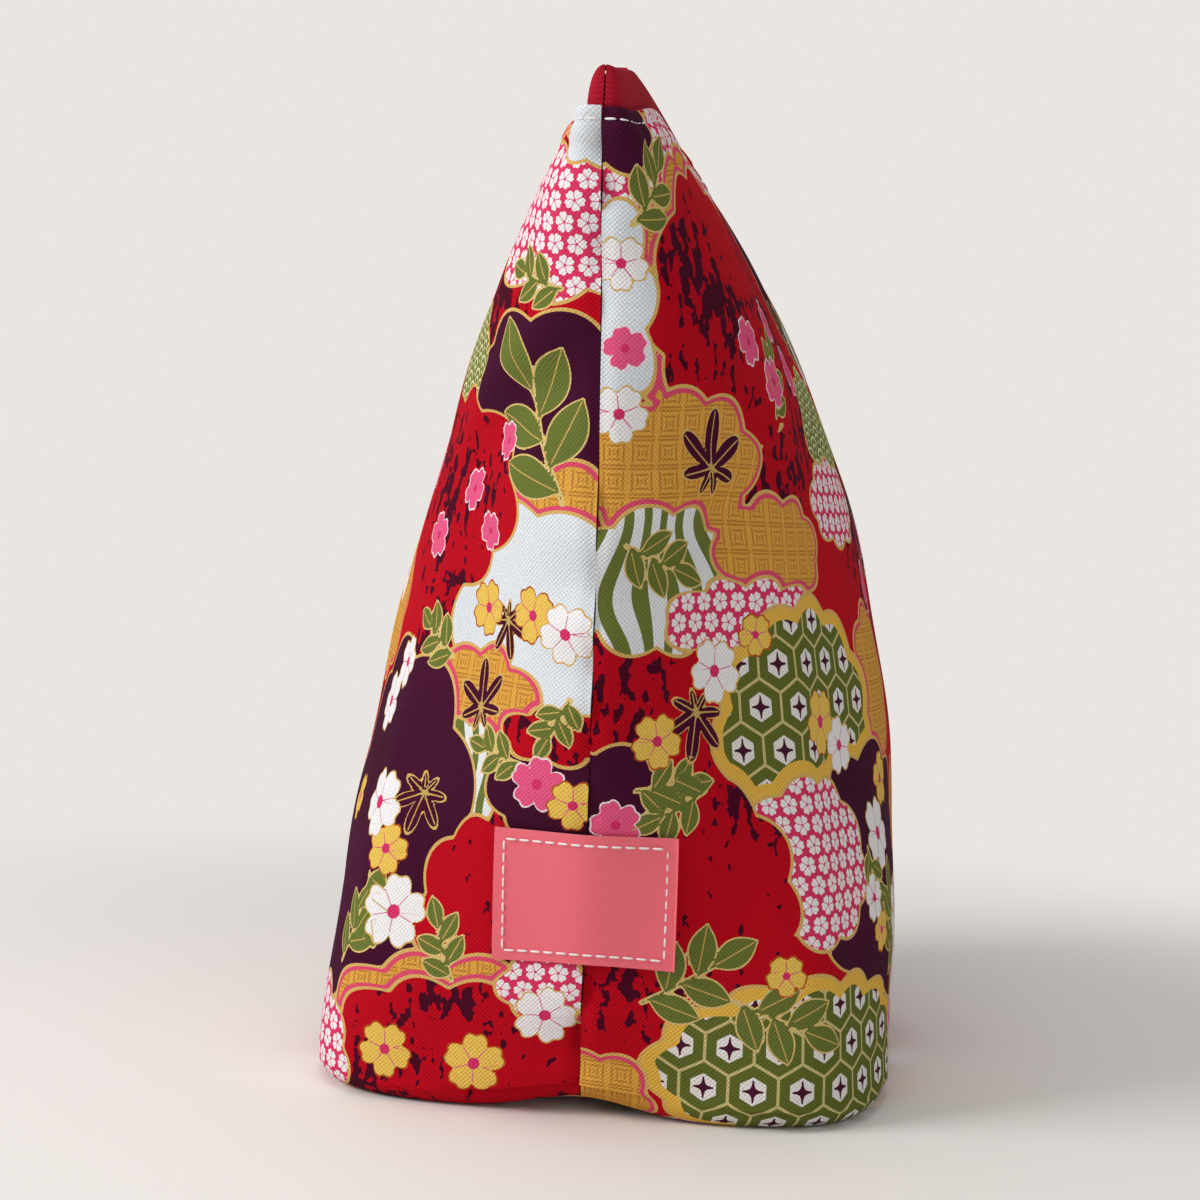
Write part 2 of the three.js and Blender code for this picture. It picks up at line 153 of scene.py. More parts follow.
def panel_grid(side, shares, bases, turns, levels, inset):
    """A whole panel: rows under the base from its middle seam to its edge, rows round the turned edge and
    rows up the wall."""
    ends = np.minimum(shares, 1 - shares) * panel_width
    lift = end_lift * bell(ends, lift_spread)[None]
    x, y, reach = half_loops([0.0], [base_turn], 0.0, shares)
    k = np.asarray(bases)[:, None]
    seam_x = base_seam * reach[0, 0] * np.cos(np.pi * shares)[None]
    under = np.stack([seam_x + (x - seam_x) * k, y * k, inset + lift * k ** 3], -1)
    angle = np.asarray(turns)[:, None] * np.pi / 2
    insets = base_turn - (base_turn - inset) * np.sin(angle[:, 0])
    x, y, _ = half_loops(np.zeros(len(insets)), insets, 0.0, shares)
    turned = np.stack([x, y, base_turn - (base_turn - inset) * np.cos(angle) + lift], -1)
    for rows in (under, turned):
        rows[..., 1] = side * (np.maximum(rows[..., 1], 0) + seam_gap / 2)
    return np.concatenate([under, turned, panel_walls(side, shares, levels, inset)])


def grid_faces(rows, columns, first, flip):
    """Quads of a grid of vertices, numbered row by row from first."""
    at = first + np.arange(rows * columns).reshape(rows, columns)
    quads = np.stack([at[:-1, :-1], at[:-1, 1:], at[1:, 1:], at[1:, :-1]], -1).reshape(-1, 4)
    return quads[:, ::-1] if flip else quads


def border(rows, columns, first):
    """The outer loop of a grid's vertices, in the turning order of its quads."""
    at = first + np.arange(rows * columns).reshape(rows, columns)
    return np.concatenate([at[0, :-1], at[:-1, -1], at[-1, :0:-1], at[:0:-1, 0]])


def mesh_piece(name, points, faces, uv=None, sharp=0.8):
    """A Blender object from arrays of points and faces, smooth except along sharp edges."""
    mesh = bpy.data.meshes.new(name)
    mesh.from_pydata(points.reshape(-1, 3).tolist(), [], [f.tolist() for part in faces for f in part])
    mesh.update()
    if uv is not None:
        layer = mesh.uv_layers.new(name="cloth")
        at = np.empty(len(mesh.loops), np.int32)
        mesh.loops.foreach_get("vertex_index", at)
        layer.data.foreach_set("uv", uv.reshape(-1, 2)[at].astype(np.float32).ravel())
    mesh.polygons.foreach_set("use_smooth", np.ones(len(mesh.polygons), bool))
    mesh.set_sharp_from_angle(angle=sharp)
    piece = bpy.data.objects.new(name, mesh)
    bpy.context.scene.collection.objects.link(piece)
    return piece


def cloth_sheet(name, outer, inner, outer_uv, flip, step=3):
    """A closed cloth sheet: a fine outer grid, a coarse inner grid with every third row and column, and a
    rim of triangles that joins their borders."""
    (r, c), (ri, ci) = outer.shape[:2], inner.shape[:2]
    loop, back = border(r, c, 0), border(ri, ci, r * c)
    n, m = len(loop), len(back)
    k, j = np.arange(n), np.arange(m)
    rim = np.concatenate([
        np.stack([loop[(k + 1) % n], loop, back[((k + 2) // step) % m]], -1),
        np.stack([loop[step * j + 1], back, back[(j + 1) % m]], -1),
    ])
    faces = [grid_faces(r, c, 0, flip), grid_faces(ri, ci, r * c, not flip), rim[:, ::-1] if flip else rim]
    points = np.concatenate([outer.reshape(-1, 3), inner.reshape(-1, 3)])
    uv = np.concatenate([outer_uv.reshape(-1, 2), outer_uv[::step, ::step].reshape(-1, 2)])
    return mesh_piece(name, points, faces, uv)


# The print: a patchwork of cloud-shaped fields in traditional patterns, with flowers, leaves and maples
# laid over it. Each field and motif is worked out as a distance in millimetres over the flat cloth.
field_kinds = ("pink", "plum", "hexes", "gold", "waves", "white", "stream")
motif_kinds = ("white", "yellow", "rose", "maple", "leaf")
repeat_along, repeat_rise, repeat_up, nowhere = 138, 64, 228, 99.0


def cloud(u, v, cu, cv, ru, rv, lobes):
    """Distance to the scalloped edge of a cloud: an ellipse with round lobes of equal length along its
    edge."""
    du, dv = (u - cu) / ru, (v - cv) / rv
    far = np.maximum(np.hypot(du, dv), 1e-3)
    turns = np.linspace(-np.pi, np.pi, 361)
    marks = np.concatenate([[0], np.cumsum(np.hypot(ru * np.sin(turns[1:]), rv * np.cos(turns[1:])))])
    phase = np.interp(np.arctan2(dv, du), turns, marks / marks[-1])
    lobe = 0.17 * np.pi * np.hypot(ru, rv) * 2 ** 0.5 / lobes
    scallop = lobe * (np.abs(np.sin(np.pi * lobes * phase + cu)) - 0.62)
    return (far - 1) * far / np.hypot(du / ru, dv / rv).clip(1e-6) - scallop


def blossom(u, v, cu, cv, radius, turn):
    """Distances to a five-petalled blossom's notched outline, to the lines between its petals (signed)
    and to its core."""
    du, dv = u - cu, v - cv
    rho, theta = np.hypot(du, dv), np.arctan2(dv, du) + turn
    wave = np.cos(2.5 * theta)
    petal = np.abs(wave)
    outline = rho - radius * (0.52 + 0.48 * petal ** 0.55 - 0.13 * petal ** 14)
    return outline, rho * wave * 0.4, rho - radius * 0.19


def maple(u, v, cu, cv, radius, turn):
    """Distances to a maple leaf, seven sharp lobes that shorten towards its stem, and to its veins
    (signed)."""
    du, dv = u - cu, v - cv
    rho, theta = np.hypot(du, dv), np.mod(np.arctan2(dv, du) - turn + np.pi, 2 * np.pi) - np.pi
    lobe = np.abs(np.cos(3.5 * theta))
    reach = radius * (0.26 + 0.74 * lobe ** 1.25) * (0.72 + 0.28 * np.cos(theta))
    return (rho - reach) * 0.6, rho * np.sin(3.5 * theta) / 3.5


def spray(u, v, cu, cv, length, turn, leaves=5):
    """Distances to a sprig, pointed leaves in turn to the left and right of a thin stem, and to its
    midribs (signed)."""
    du, dv = u - cu, v - cv
    along, across = du * np.cos(turn) + dv * np.sin(turn), dv * np.cos(turn) - du * np.sin(turn)
    best = np.maximum(np.abs(across) - 0.28, np.abs(along - length / 2) - length / 2)
    ribs = np.full(u.shape, nowhere)
    for i in range(leaves):
        lean = (0.85 if i % 2 else -0.85) * (i < leaves - 1)
        start, size = length * (0.08 + 0.8 * i / leaves), length * 0.46
        a = (along - start) * np.cos(lean) + across * np.sin(lean)
        b = across * np.cos(lean) - (along - start) * np.sin(lean)
        t = np.clip(a / size, 0, 1)
        ends = np.abs(a - size / 2) - size / 2
        leaf = np.maximum(np.abs(b) - 1.05 * size * t * (1 - t), ends)
        ribs = np.where(leaf < best, b, ribs)
        best = np.minimum(best, leaf)
    return best, ribs


def print_layers(u, v, fields, flowers, leaves):
    """The distance to every kind of field and motif at points of the flat cloth. Later fields lie over
    earlier ones, and a red one shows the ground. The layout is repeated along the cloth, a step higher each
    time, and again above and below."""
    shifts = [(repeat_along * i, repeat_rise * i + repeat_up * j) for i in (2, 1, 0) for j in (-1, 1, 0)]
    shown = {kind: np.full(u.shape, nowhere) for kind in field_kinds}
    for along, up in shifts:
        for kind, cu, cv, ru, rv, lobes in fields:
            d = cloud(u, v, cu + along, cv + up, ru, rv, lobes)
            for other in field_kinds:
                shown[other] = np.minimum(shown[other], d) if other == kind else np.maximum(shown[other], -d)
    layers = {f"{kind}_field": d for kind, d in shown.items()}
    layers |= {f"{kind}_motif": np.full(u.shape, nowhere) for kind in motif_kinds}
    layers |= {name: np.full(u.shape, nowhere) for name in ("petal_line", "flower_core", "leaf_vein")}
    for along, up in shifts:
        for kind, cu, cv, radius, turn in flowers:
            outline, line, core = blossom(u, v, cu + along, cv + up, radius, turn)
            layers["petal_line"] = np.where(outline < 0.5, line, layers["petal_line"])
            layers["flower_core"] = np.minimum(layers["flower_core"], core)
            layers[f"{kind}_motif"] = np.minimum(layers[f"{kind}_motif"], outline)
        for kind, cu, cv, size, turn in leaves:
            shape = maple if kind == "maple" else spray
            outline, veins = shape(u, v, cu + along, cv + up, size, turn)
            layers["leaf_vein"] = np.where(outline < 0.5, veins, layers["leaf_vein"])
            layers[f"{kind}_motif"] = np.minimum(layers[f"{kind}_motif"], outline)
    return layers


front_fields = [
    ("pink", 10, 200, 36, 16, 9), ("plum", 13, 159, 28, 22, 8), ("waves", 52, 170, 15, 13, 7),
    ("gold", 6, 140, 16, 9, 6), ("white", 16, 113, 30, 26, 9), ("red", 54, 141, 34, 22, 8),
    ("gold", 32, 90, 23, 17, 8), ("stream", 33, 78, 15, 12, 6), ("plum", 66, 63, 38, 42, 9),
    ("plum", 7, 78, 17, 14, 7), ("red", 7, 89, 14, 6, 6), ("red", 26, 46, 15, 22, 7),
    ("gold", 28, 12, 40, 24, 11), ("red", 28, 10, 36, 20, 11), ("pink", 76, 8, 20, 17, 8),
    ("pink", 8, 30, 11, 8, 6), ("white", 2, 221, 10, 9, 5), ("gold", 102, 118, 22, 24, 8),
    ("hexes", 108, 178, 26, 24, 9), ("pink", 112, 38, 20, 22, 8),
]
back_fields = [
    ("pink", 30, 208, 36, 18, 9), ("plum", 3, 220, 13, 9, 5), ("gold", 36, 184, 33, 32, 11),
    ("red", 42, 183, 33, 29, 11), ("white", 2, 180, 9, 26, 7), ("waves", 98, 160, 18, 13, 7),
    ("pink", 96, 142, 20, 10, 8), ("gold", 20, 148, 26, 17, 8), ("stream", 16, 124, 24, 16, 8),
    ("gold", 54, 131, 22, 12, 8), ("pink", 44, 115, 28, 9, 9), ("gold", 108, 98, 18, 20, 8),
    ("hexes", 64, 90, 33, 30, 11), ("plum", 94, 55, 40, 30, 9), ("pink", 58, 61, 23, 19, 9),
    ("red", 26, 54, 23, 27, 9), ("plum", 4, 74, 15, 14, 6), ("gold", 114, 20, 16, 20, 7),
    ("hexes", 58, 13, 44, 22, 13), ("gold", 4, 3, 13, 12, 5), ("plum", 116, 196, 20, 22, 8),
]
front_flowers = [
    ("white", 58, 68, 8.5, 0.3), ("white", 47, 44, 9, 0.9), ("white", 74, 90, 7.5, 0.2),
    ("white", 8, 23, 7.5, 0.6), ("white", 92, 42, 8, 0.1), ("rose", 42, 141, 5, 0.4),
    ("rose", 58, 130, 5.5, 1.1), ("rose", 32, 132, 4.5, 0.2), ("rose", 78, 146, 6, 0.9),
    ("rose", 27, 152, 4.5, 0.5), ("yellow", 33, 115, 6.5, 0.5), ("yellow", 15, 115, 6.5, 0.1),
    ("yellow", 52, 58, 6.5, 0.7), ("yellow", 46, 12, 7, 0.3), ("yellow", 24, 11, 7.5, 0.9),
    ("yellow", 82, 66, 6, 0.4), ("white", 6, 112, 7, 0.2), ("rose", 11, 78, 6.5, 0.8),
    ("white", 100, 120, 8, 0.5), ("yellow", 122, 96, 7, 0.2), ("yellow", 3, 74, 6, 0.3),
    ("white", 66, 100, 6.5, 0.7),
]
back_flowers = [
    ("white", 32, 104, 7.5, 0.4), ("white", 94, 64, 9, 0.2), ("white", 76, 86, 7, 0.8),
    ("yellow", 66, 92, 8, 0.4), ("white", 108, 44, 8, 0.1), ("rose", 44, 176, 5.5, 0.5),
    ("rose", 56, 168, 6, 0.1), ("rose", 66, 182, 5, 0.9), ("rose", 78, 172, 6, 0.3),
    ("yellow", 15, 89, 6.5, 0.2), ("yellow", 88, 42, 5.5, 0.6), ("yellow", 104, 76, 7, 0.9),
    ("white", 4, 192, 6, 0.3), ("rose", 5, 174, 5, 0.7), ("white", 4, 160, 6.5, 0.2),
    ("yellow", 44, 112, 5, 0.4), ("rose", 6, 70, 6, 0.6), ("white", 84, 50, 6, 0.9),
    ("rose", 122, 122, 7, 0.3), ("yellow", 46, 36, 5, 0.3),
]
front_leaves = [
    ("maple", 30, 93, 11, 1.4), ("leaf", 7, 140, 36, 1.15), ("leaf", 44, 103, 17, 0.5),
    ("maple", 24, 113, 9, 4.4), ("leaf", 62, 30, 22, 2.0), ("maple", 44, 72, 10, 5.0),
    ("leaf", 30, 30, 17, 1.2), ("leaf", 96, 152, 22, 0.4), ("leaf", 15, 82, 15, 0.2),
    ("leaf", 8, 186, 17, 0.2), ("leaf", 4, 98, 14, 5.2), ("leaf", 56, 52, 15, 4.4),
]
back_leaves = [
    ("maple", 28, 148, 13, 1.5), ("maple", 26, 95, 11, 4.5), ("leaf", 13, 28, 26, 0.55),
    ("leaf", 6, 132, 20, 5.9), ("leaf", 54, 160, 19, 1.2), ("leaf", 34, 30, 24, 5.9),
    ("leaf", 96, 30, 24, 1.4), ("maple", 104, 180, 11, 1.0), ("leaf", 6, 200, 20, 0.9),
    ("leaf", 10, 78, 17, 0.1), ("leaf", 84, 62, 18, 5.0), ("leaf", 28, 78, 18, 3.6),
]


class Nodes:
    """Shader nodes of one material, linked by the calls that make them."""

    def __init__(self, name):
        self.material = bpy.data.materials.new(name)
        self.material.use_nodes = True
        self.tree = self.material.node_tree
        self.shader = self.tree.nodes["Principled BSDF"]

    def add(self, kind, *links, **settings):
        node = self.tree.nodes.new(kind)
        for key, value in settings.items():
            setattr(node, key, value)
        for socket, value in zip(node.inputs, links):
            self.put(socket, value)
        return node

    def put(self, socket, value):
        if isinstance(value, bpy.types.NodeSocket):
            self.tree.links.new(value, socket)
        elif value is not None:
            socket.default_value = value

    def do(self, operation, *values):
        """One step of arithmetic."""
        return self.add("ShaderNodeMath", *values, operation=operation).outputs[0]

    def read(self, name):
        """An attribute of the mesh."""
        return self.add("ShaderNodeAttribute", attribute_name=name).outputs["Fac"]

    def noise(self, place, scale, detail=2.0):
        """Smooth noise at a place."""
        node = self.add("ShaderNodeTexNoise", place)
        node.inputs["Scale"].default_value, node.inputs["Detail"].default_value = scale, detail
        return node.outputs[0]

    def object_place(self):
        """The object's own coordinates, in metres."""
        return self.add("ShaderNodeTexCoord").outputs["Object"]

    def cloth_place(self):
        """Millimetres across and up the flat cloth, and the map that gives them."""
        place = self.add("ShaderNodeUVMap", uv_map="cloth").outputs[0]
        apart = self.add("ShaderNodeSeparateXYZ", place)
        return *(self.do("MULTIPLY", apart.outputs[i], 1000) for i in (0, 1)), place

    def lay(self, under, over, mask):
        """One colour over another where the mask is 1."""
        node = self.add("ShaderNodeMix", data_type="RGBA")
        for socket, value in ((node.inputs[0], mask), (node.inputs[6], under), (node.inputs[7], over)):
            self.put(socket, value)
        return node.outputs[2]


def tint(code):
    """A linear colour from a hex code."""
    rgb = np.array([int(code[i:i + 2], 16) for i in (0, 2, 4)]) / 255
    return (*np.where(rgb <= 0.04045, rgb / 12.92, ((rgb + 0.055) / 1.055) ** 2.4).tolist(), 1.0)


def weave(nodes, u, v, pitch, depth, colour, shade=0.10):
    """Plain weave: crossing threads as a product of sines, in the bump and as a slight painted shade that
    darkens the colour where the threads dip.
    """
    over = nodes.do("MULTIPLY", nodes.do("SINE", nodes.do("MULTIPLY", u, 2 * np.pi / pitch)),
                    nodes.do("SINE", nodes.do("MULTIPLY", v, 2 * np.pi / pitch)))
    bump = nodes.add("ShaderNodeBump")
    bump.inputs["Strength"].default_value, bump.inputs["Distance"].default_value = 0.7, depth
    nodes.put(bump.inputs["Height"], over)
    nodes.put(nodes.shader.inputs["Normal"], bump.outputs[0])
    # painted shade: the colour is darkened where the threads dip, by the share given as shade
    fade = nodes.do("MULTIPLY_ADD", over, shade / 2, 1 - shade / 2)
    mixed = nodes.add("ShaderNodeVectorMath", colour, operation="SCALE")
    nodes.put(mixed.inputs["Scale"], fade)
    nodes.put(nodes.shader.inputs["Base Color"], mixed.outputs[0])


def printed_cotton(name):
    """The printed cloth: fields, their fine patterns, their gold edges and the motifs, then the weave."""
    n = Nodes(name)
    u, v, place = n.cloth_place()
    below = lambda value, limit: n.do("LESS_THAN", value, limit)
    within = lambda value, half: n.do("LESS_THAN", n.do("ABSOLUTE", value), half)
    centred = lambda value: n.do("SUBTRACT", n.do("FRACT", value), 0.5)
    both = lambda one, other: n.do("MULTIPLY", one, other)

    # branches on the red ground: upright strokes of a stretched noise, in patches of a slow one
    slow, knots = n.noise(place, 30, 0.5), n.noise(place, 420, 1.0)
    upright = n.add("ShaderNodeMapping", place)
    upright.inputs["Scale"].default_value = (1.0, 0.42, 1.0)
    twigs = n.noise(upright.outputs[0], 330)
    thick = n.do("MULTIPLY_ADD", knots, 0.45, n.do("MULTIPLY_ADD", slow, 0.75, twigs))
    tone = n.do("MULTIPLY_ADD", slow, 0.9, -0.2)
    ground = n.lay(tint("C20A1E"), tint("AC081E"), tone)
    colour = n.lay(ground, tint("4A0A22"), n.do("GREATER_THAN", thick, 1.2))

    # small blossoms on pink: a half-drop lattice of five-petalled flowers
    across, upward = 5.2, 4.5
    lines = n.do("DIVIDE", v, upward)
    row = n.do("FLOOR", lines)
    dv = n.do("MULTIPLY", centred(lines), upward)
    shifted = n.do("ADD", n.do("DIVIDE", u, across), n.do("MULTIPLY", row, 0.5))
    du = n.do("MULTIPLY", centred(shifted), across)
    rho = n.do("SQRT", n.do("ADD", n.do("MULTIPLY", du, du), n.do("MULTIPLY", dv, dv)))
    turn = n.do("ADD", n.do("ARCTAN2", dv, du), n.do("MULTIPLY_ADD", row, 1.9, n.do("FLOOR", shifted)))
    petal = n.do("ABSOLUTE", n.do("COSINE", n.do("MULTIPLY", turn, 2.5)))
    notched = n.do("MULTIPLY_ADD", n.do("POWER", petal, 14.0), -0.34, 1.2)
    reach = n.do("MULTIPLY_ADD", n.do("POWER", petal, 0.55), 1.2, notched)
    pinks = n.lay(tint("DD3A66"), tint("F3EEF0"), n.do("LESS_THAN", rho, reach))
    pinks = n.lay(pinks, tint("DD3A66"), below(n.do("MULTIPLY", petal, rho), 0.21))
    pinks = n.lay(pinks, tint("D8506E"), below(rho, 0.35))

    # hexagons: the nearer of two lattices gives the cell, its hexagonal radius the rings
    side = 6.4
    wide, tall = 3 ** 0.5 * side, 3 * side
    cells = []
    for shift in (0.0, 0.5):
        a = n.do("MULTIPLY", centred(n.do("MULTIPLY_ADD", u, 1 / wide, shift)), wide)
        b = n.do("MULTIPLY", centred(n.do("MULTIPLY_ADD", v, 1 / tall, shift)), tall)
        cells.append((a, b, n.do("ADD", n.do("MULTIPLY", a, a), n.do("MULTIPLY", b, b))))
    nearer = n.do("LESS_THAN", cells[0][2], cells[1][2])
    pick = lambda i: n.do("MULTIPLY_ADD", nearer, n.do("SUBTRACT", cells[0][i], cells[1][i]), cells[1][i])
    hx, hy = n.do("ABSOLUTE", pick(0)), n.do("ABSOLUTE", pick(1))
    ring = n.do("MAXIMUM", hx, n.do("MULTIPLY_ADD", hx, 0.5, n.do("MULTIPLY", hy, 0.866)))
    cross = n.do("MULTIPLY", hx, hy)
    hexes = n.lay(tint("646C2E"), tint("CDBE80"), n.do("GREATER_THAN", ring, 5.2))
    hexes = n.lay(hexes, tint("ECE6E2"), below(ring, 2.9))
    hexes = n.lay(hexes, tint("4A1A30"), both(below(cross, 0.5), below(ring, 2.3)))
    hexes = n.lay(hexes, tint("E8B84C"), n.do("GREATER_THAN", n.read("hexes_field"), -3.4))

    # key fret on gold: nested squares in square cells
    cell = 6.2
    fx, fy = (n.do("ABSOLUTE", centred(n.do("DIVIDE", c, cell))) for c in (u, v))
    step = n.do("MULTIPLY", n.do("GREATER_THAN", fx, fy), 0.5)
    nest = n.do("FRACT", n.do("MULTIPLY_ADD", n.do("MAXIMUM", fx, fy), 5.0, step))
    golds = n.lay(tint("E2A648"), tint("BF8438"), below(nest, 0.38))
    golds = n.lay(golds, tint("DE4F6E"), n.do("GREATER_THAN", n.read("gold_field"), -1.5))

    # sea waves: rings about the centres of the row that lies in front
    radius = 5.2
    level = n.do("DIVIDE", v, radius / 2)
    fans = []
    for back in (1.0, 0.0):
        line = n.do("SUBTRACT", n.do("FLOOR", level), back)
        dy = n.do("MULTIPLY", n.do("SUBTRACT", level, line), radius / 2)
        shifted = n.do("MULTIPLY_ADD", line, 0.5, n.do("MULTIPLY_ADD", u, 0.5 / radius, 0.5))
        dx = n.do("MULTIPLY", centred(shifted), 2 * radius)
        fans.append(n.do("SQRT", n.do("ADD", n.do("MULTIPLY", dx, dx), n.do("MULTIPLY", dy, dy))))
    front = n.do("LESS_THAN", fans[0], radius)
    fan = n.do("MULTIPLY_ADD", front, n.do("SUBTRACT", fans[0], fans[1]), fans[1])
    rings = n.do("FRACT", n.do("MULTIPLY", fan, 3 / radius))
    seas = n.lay(tint("7C8440"), tint("E6DFB4"), below(rings, 0.34))

    # running water: bent bands on white
    bands = n.add("ShaderNodeTexWave", place)
    for setting, value in (("Scale", 44), ("Distortion", 9), ("Detail", 0), ("Detail Scale", 0.9)):
        bands.inputs[setting].default_value = value
    streams = n.lay(tint("E6E8EA"), tint("6F7838"), n.do("GREATER_THAN", bands.outputs["Fac"], 0.56))

    plums = n.lay(tint("3F0F2A"), tint("54163A"), tone)
    pales = n.lay(tint("E4E9EE"), tint("D2D9E0"), tone)
    for kind, pattern in zip(field_kinds, (pinks, plums, hexes, golds, seas, pales, streams)):
        colour = n.lay(colour, pattern, below(n.read(f"{kind}_field"), 0.0))
    edge = nowhere
    for kind in field_kinds:
        edge = n.do("MINIMUM", edge, n.do("ABSOLUTE", n.read(f"{kind}_field")))
    colour = n.lay(colour, tint("D9B166"), below(edge, 0.42))

    # motifs: each a fill inside its outline, then veins, petal lines and cores
    for kind, fill, line in (
        ("leaf", "6C7636", "DCC07A"), ("maple", "4A0F2C", "D9B166"), ("rose", "E85A86", "F3DDE2"),
        ("yellow", "EBC35A", "B4571F"), ("white", "F2EFF0", "D9B166"),
    ):
        far = n.read(f"{kind}_motif")
        colour = n.lay(colour, tint(line), below(far, 0.38))
        colour = n.lay(colour, tint(fill), below(far, -0.05))
    foliage = n.do("MINIMUM", n.read("leaf_motif"), n.read("maple_motif"))
    colour = n.lay(colour, tint("C9A860"), both(within(n.read("leaf_vein"), 0.16), below(foliage, -0.3)))
    flower = n.do("MINIMUM", n.read("white_motif"), n.read("yellow_motif"))
    flower = n.do("MINIMUM", flower, n.read("rose_motif"))
    colour = n.lay(colour, tint("DB5C80"), both(within(n.read("petal_line"), 0.11), below(flower, -0.5)))
    colour = n.lay(colour, tint("D8356A"), both(below(n.read("flower_core"), 0.0), below(flower, -0.2)))

    # the weave's bump, with painted shade between the threads darkening the print by up to 30 percent
    weave(n, u, v, 1.04, 0.00010, colour, 0.30)
    n.shader.inputs["Roughness"].default_value = 0.86
    n.shader.inputs["Specular IOR Level"].default_value = 0.05
    return n.material


def crowded(count):
    """Shares along the cloth, set closer together towards the end seams."""
    t = np.linspace(0, 1, count)
    return t - 0.05 * np.sin(2 * np.pi * t)


shares = crowded(301)
under_rows, turn_rows = np.linspace(0, 1, 22)[:-1], np.linspace(0, 1, 10)[:-1]
wall_rows = np.linspace(base_turn / panel_rise, 1, 256)
climb = np.concatenate([np.linspace(-0.070, -0.007, len(under_rows)),
                        np.linspace(-0.006, 0.004, len(turn_rows)), wall_rows * panel_rise])[:, None]
uv = np.stack(np.broadcast_arrays(shares[None] * panel_width, climb), -1)
flat_u, flat_v = (np.concatenate([uv[..., i].ravel(), uv[::3, ::3, i].ravel()]) * 1000 for i in (0, 1))
for name, side, layout in (("front", -1, (front_fields, front_flowers, front_leaves)),
                           ("back", 1, (back_fields, back_flowers, back_leaves))):
    outer = panel_grid(side, shares, under_rows, turn_rows, wall_rows, 0.0)
    inner = panel_grid(side, shares, under_rows, turn_rows, wall_rows, cloth_thick)[::3, ::3]
    panel = cloth_sheet(f"printed_panel_{name}", outer, inner, uv, side < 0)
    for layer, distance in print_layers(flat_u, flat_v, *layout).items():
        values = panel.data.attributes.new(layer, "FLOAT", "POINT").data
        values.foreach_set("value", distance.astype(np.float32))
    panel.data.materials.append(printed_cotton(f"printed_cotton_{name}"))
    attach(panel, "bag")
    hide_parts(f"outer_{name}")

# Lining: plain cotton panels inside, sewn to the zip's tapes. Only a sliver could ever be seen,
# so the solids stay and take a woven finish.
def dress(material, *names):
    """Gives solids of the frame a material."""
    for name in names:
        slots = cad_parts[name].data.materials
        slots.clear()
        slots.append(material)


lining_cloth = Nodes("lining_cotton")
spot = lining_cloth.add("ShaderNodeSeparateXYZ", lining_cloth.object_place())
across, upward = (lining_cloth.do("MULTIPLY", spot.outputs[i], 1000) for i in (0, 2))
weave(lining_cloth, across, upward, 0.8, 0.00004, lining_cloth.lay(tint("EAD6D2"), tint("E2CCC8"), 0.5))
lining_cloth.shader.inputs["Roughness"].default_value = 0.9
dress(lining_cloth.material, "lining_front", "lining_back")

# Zip tapes: red woven polyester, tucked under the panels' top edges, standing up from them and turning
# in to the chain. At each end both tapes are caught in the end seam.
chain_height, chain_half = panel_rise + 0.0054, 0.0021
tape_thick, tape_tuck, tape_shorter, tape_end_drop = 0.0005, 0.006, 0.0004, 0.002
slider_length, slider_opening, tape_closing = 0.011, 0.0013, 0.003


def tape_grid(side, shares, tucks, arches, depth):
    """A tape: rows under the panel's edge that follow the panel, then rows on a quarter ellipse from the
    edge up to the chain; the inner edge opens round the slider and closes at the ends."""
    inset = cloth_thick + seam_gap + depth * tape_thick
    levels = 1 - tape_tuck / panel_rise * (1 - np.asarray(tucks))
    tucked = panel_walls(side, shares, levels, inset, tape_shorter, 0.0)
    x, y, _ = half_loops([1.0], [inset], tape_shorter, shares)
    edge, parted, past = edge_height(x), chain_reach - slider_length, np.abs(x) - chain_reach
    inner = chain_half + 1.5 * seam_gap + slider_opening * ramp(parted, parted + 0.005, -x)
    inner = np.minimum(inner * (1 - ramp(tape_closing, 0.013, past)), y)
    top = chain_height + tape_thick / 2 - tape_end_drop * ramp(tape_closing, 0.022, past)
    angle = np.asarray(arches)[:, None] * np.pi / 2
    rise = edge + (top - depth * tape_thick - edge) * np.sin(angle)
    across = side * (np.maximum(inner + (y - inner) * np.maximum(0, np.cos(angle)) ** 0.55, 0) + seam_gap / 2)
    arch = np.stack(np.broadcast_arrays(x, across, rise), -1)
    return np.concatenate([tucked, arch])


tape_cloth = Nodes("zip_tape_red")
tape_u, tape_v, _ = tape_cloth.cloth_place()
# ribs of the tape painted as alternating darker and lighter red lines: painted shade in the grooves between
# ribs, on top of the weave's bump
painted_rib_shade = tape_cloth.do("SINE", tape_cloth.do("MULTIPLY", tape_cloth.do("ADD", tape_u, tape_v), 2 * np.pi / 0.9))
weave(tape_cloth, tape_u, tape_cloth.do("ADD", tape_v, tape_u), 1.1, 0.00016,
      tape_cloth.lay(tint("8E0B20"), tint("C4142F"), tape_cloth.do("MULTIPLY_ADD", painted_rib_shade, 0.5, 0.5)), 0.2)
tape_cloth.shader.inputs["Roughness"].default_value = 0.85
tape_cloth.shader.inputs["Specular IOR Level"].default_value = 0.15
tape_shares, tuck_rows, arch_rows = crowded(241), np.linspace(0, 1, 9)[:-1], np.linspace(0, 1, 29)
climb = np.linspace(0, 0.016, len(tuck_rows) + len(arch_rows))[:, None]
uv = np.stack(np.broadcast_arrays(tape_shares[None] * panel_width, climb), -1)
for name, side in (("front", -1), ("back", 1)):
    outer = tape_grid(side, tape_shares, tuck_rows, arch_rows, 0.0)
    inner = tape_grid(side, tape_shares, tuck_rows, arch_rows, 1.0)[::3, ::3]
    tape = cloth_sheet(f"woven_tape_{name}", outer, inner, uv, side < 0)
    tape.data.materials.append(tape_cloth.material)
    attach(tape, "bag")
    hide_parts(f"zip_tape_{name}")

